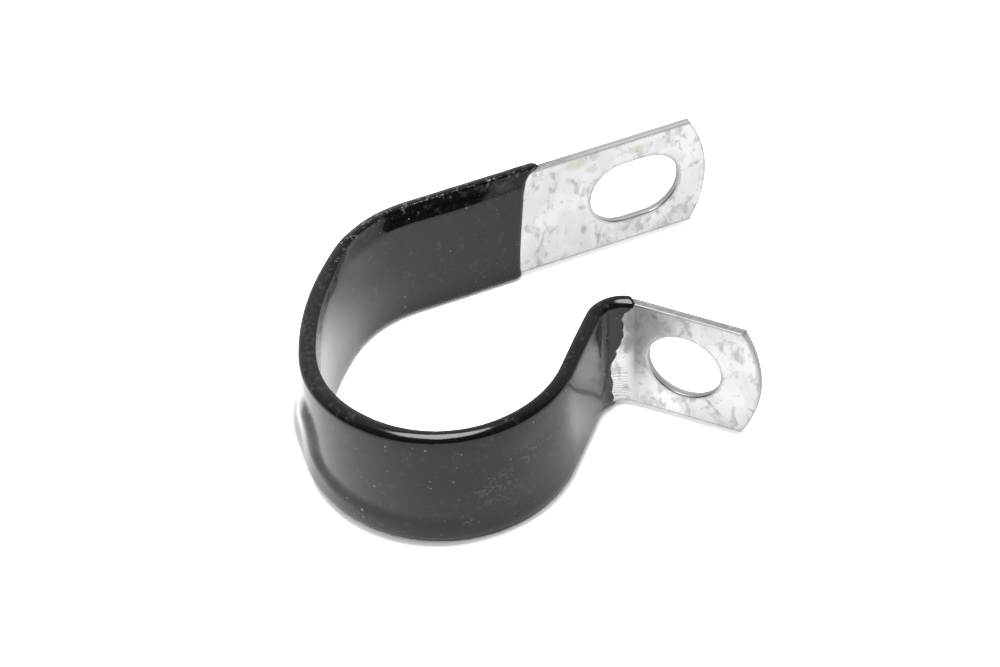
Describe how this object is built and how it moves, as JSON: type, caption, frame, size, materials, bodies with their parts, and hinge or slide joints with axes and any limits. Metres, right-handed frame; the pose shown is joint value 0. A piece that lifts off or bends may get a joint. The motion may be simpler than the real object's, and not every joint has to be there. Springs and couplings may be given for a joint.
{
  "type": "insulated loop clamp",
  "caption": "Steel strip clamp bent into a loop with two drilled legs, its loop dipped in black vinyl, opened out ready to slip over a hose, tube or cable.",
  "frame": {"origin": "centre of the loop's round stretch, halfway across the strip's width", "axes": "+Z along the loop's axis, +X out along the long leg, +Y towards the long leg's outer face"},
  "size_m": [0.0492, 0.0321, 0.0138],
  "materials": {
    "galvanised_steel": "bright zinc-coated strip with grey blotches and sheared edges",
    "black_vinyl": "glossy dipped skin with rounded edges and specks of dust"
  },
  "bodies": {
    "root": {"steel_band": "galvanised_steel", "vinyl_coating": "black_vinyl"}
  },
  "joints": []
}
